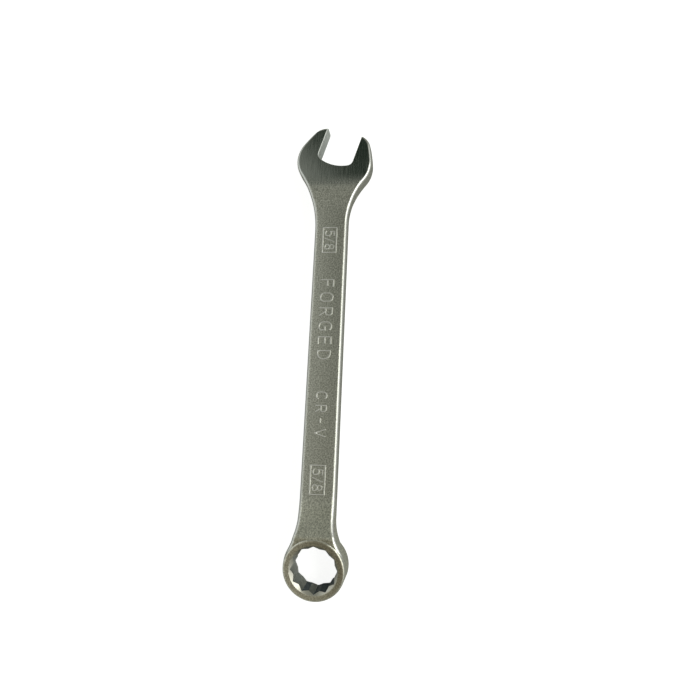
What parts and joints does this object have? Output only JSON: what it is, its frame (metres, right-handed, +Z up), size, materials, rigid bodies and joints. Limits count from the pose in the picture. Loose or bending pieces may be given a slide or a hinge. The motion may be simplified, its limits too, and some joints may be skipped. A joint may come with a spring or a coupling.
{
  "type": "combination wrench",
  "caption": "Forged steel combination wrench with a satin finish: an open jaw turned from the shank, and a broached box end that leans to one face.",
  "frame": {"origin": "middle of the footprint, on the surface that the wrench lies on with its marks up", "axes": "+X along the shank from the open end to the box end, +Z up through the marked face, +Y to the side that the jaws lean to"},
  "size_m": [0.198, 0.0332, 0.0159],
  "materials": {
    "plated_steel": "satin chrome plate over a blasted forging, ground faces at the open end"
  },
  "bodies": {
    "root": {"wrench_forging": "plated_steel"}
  },
  "joints": []
}
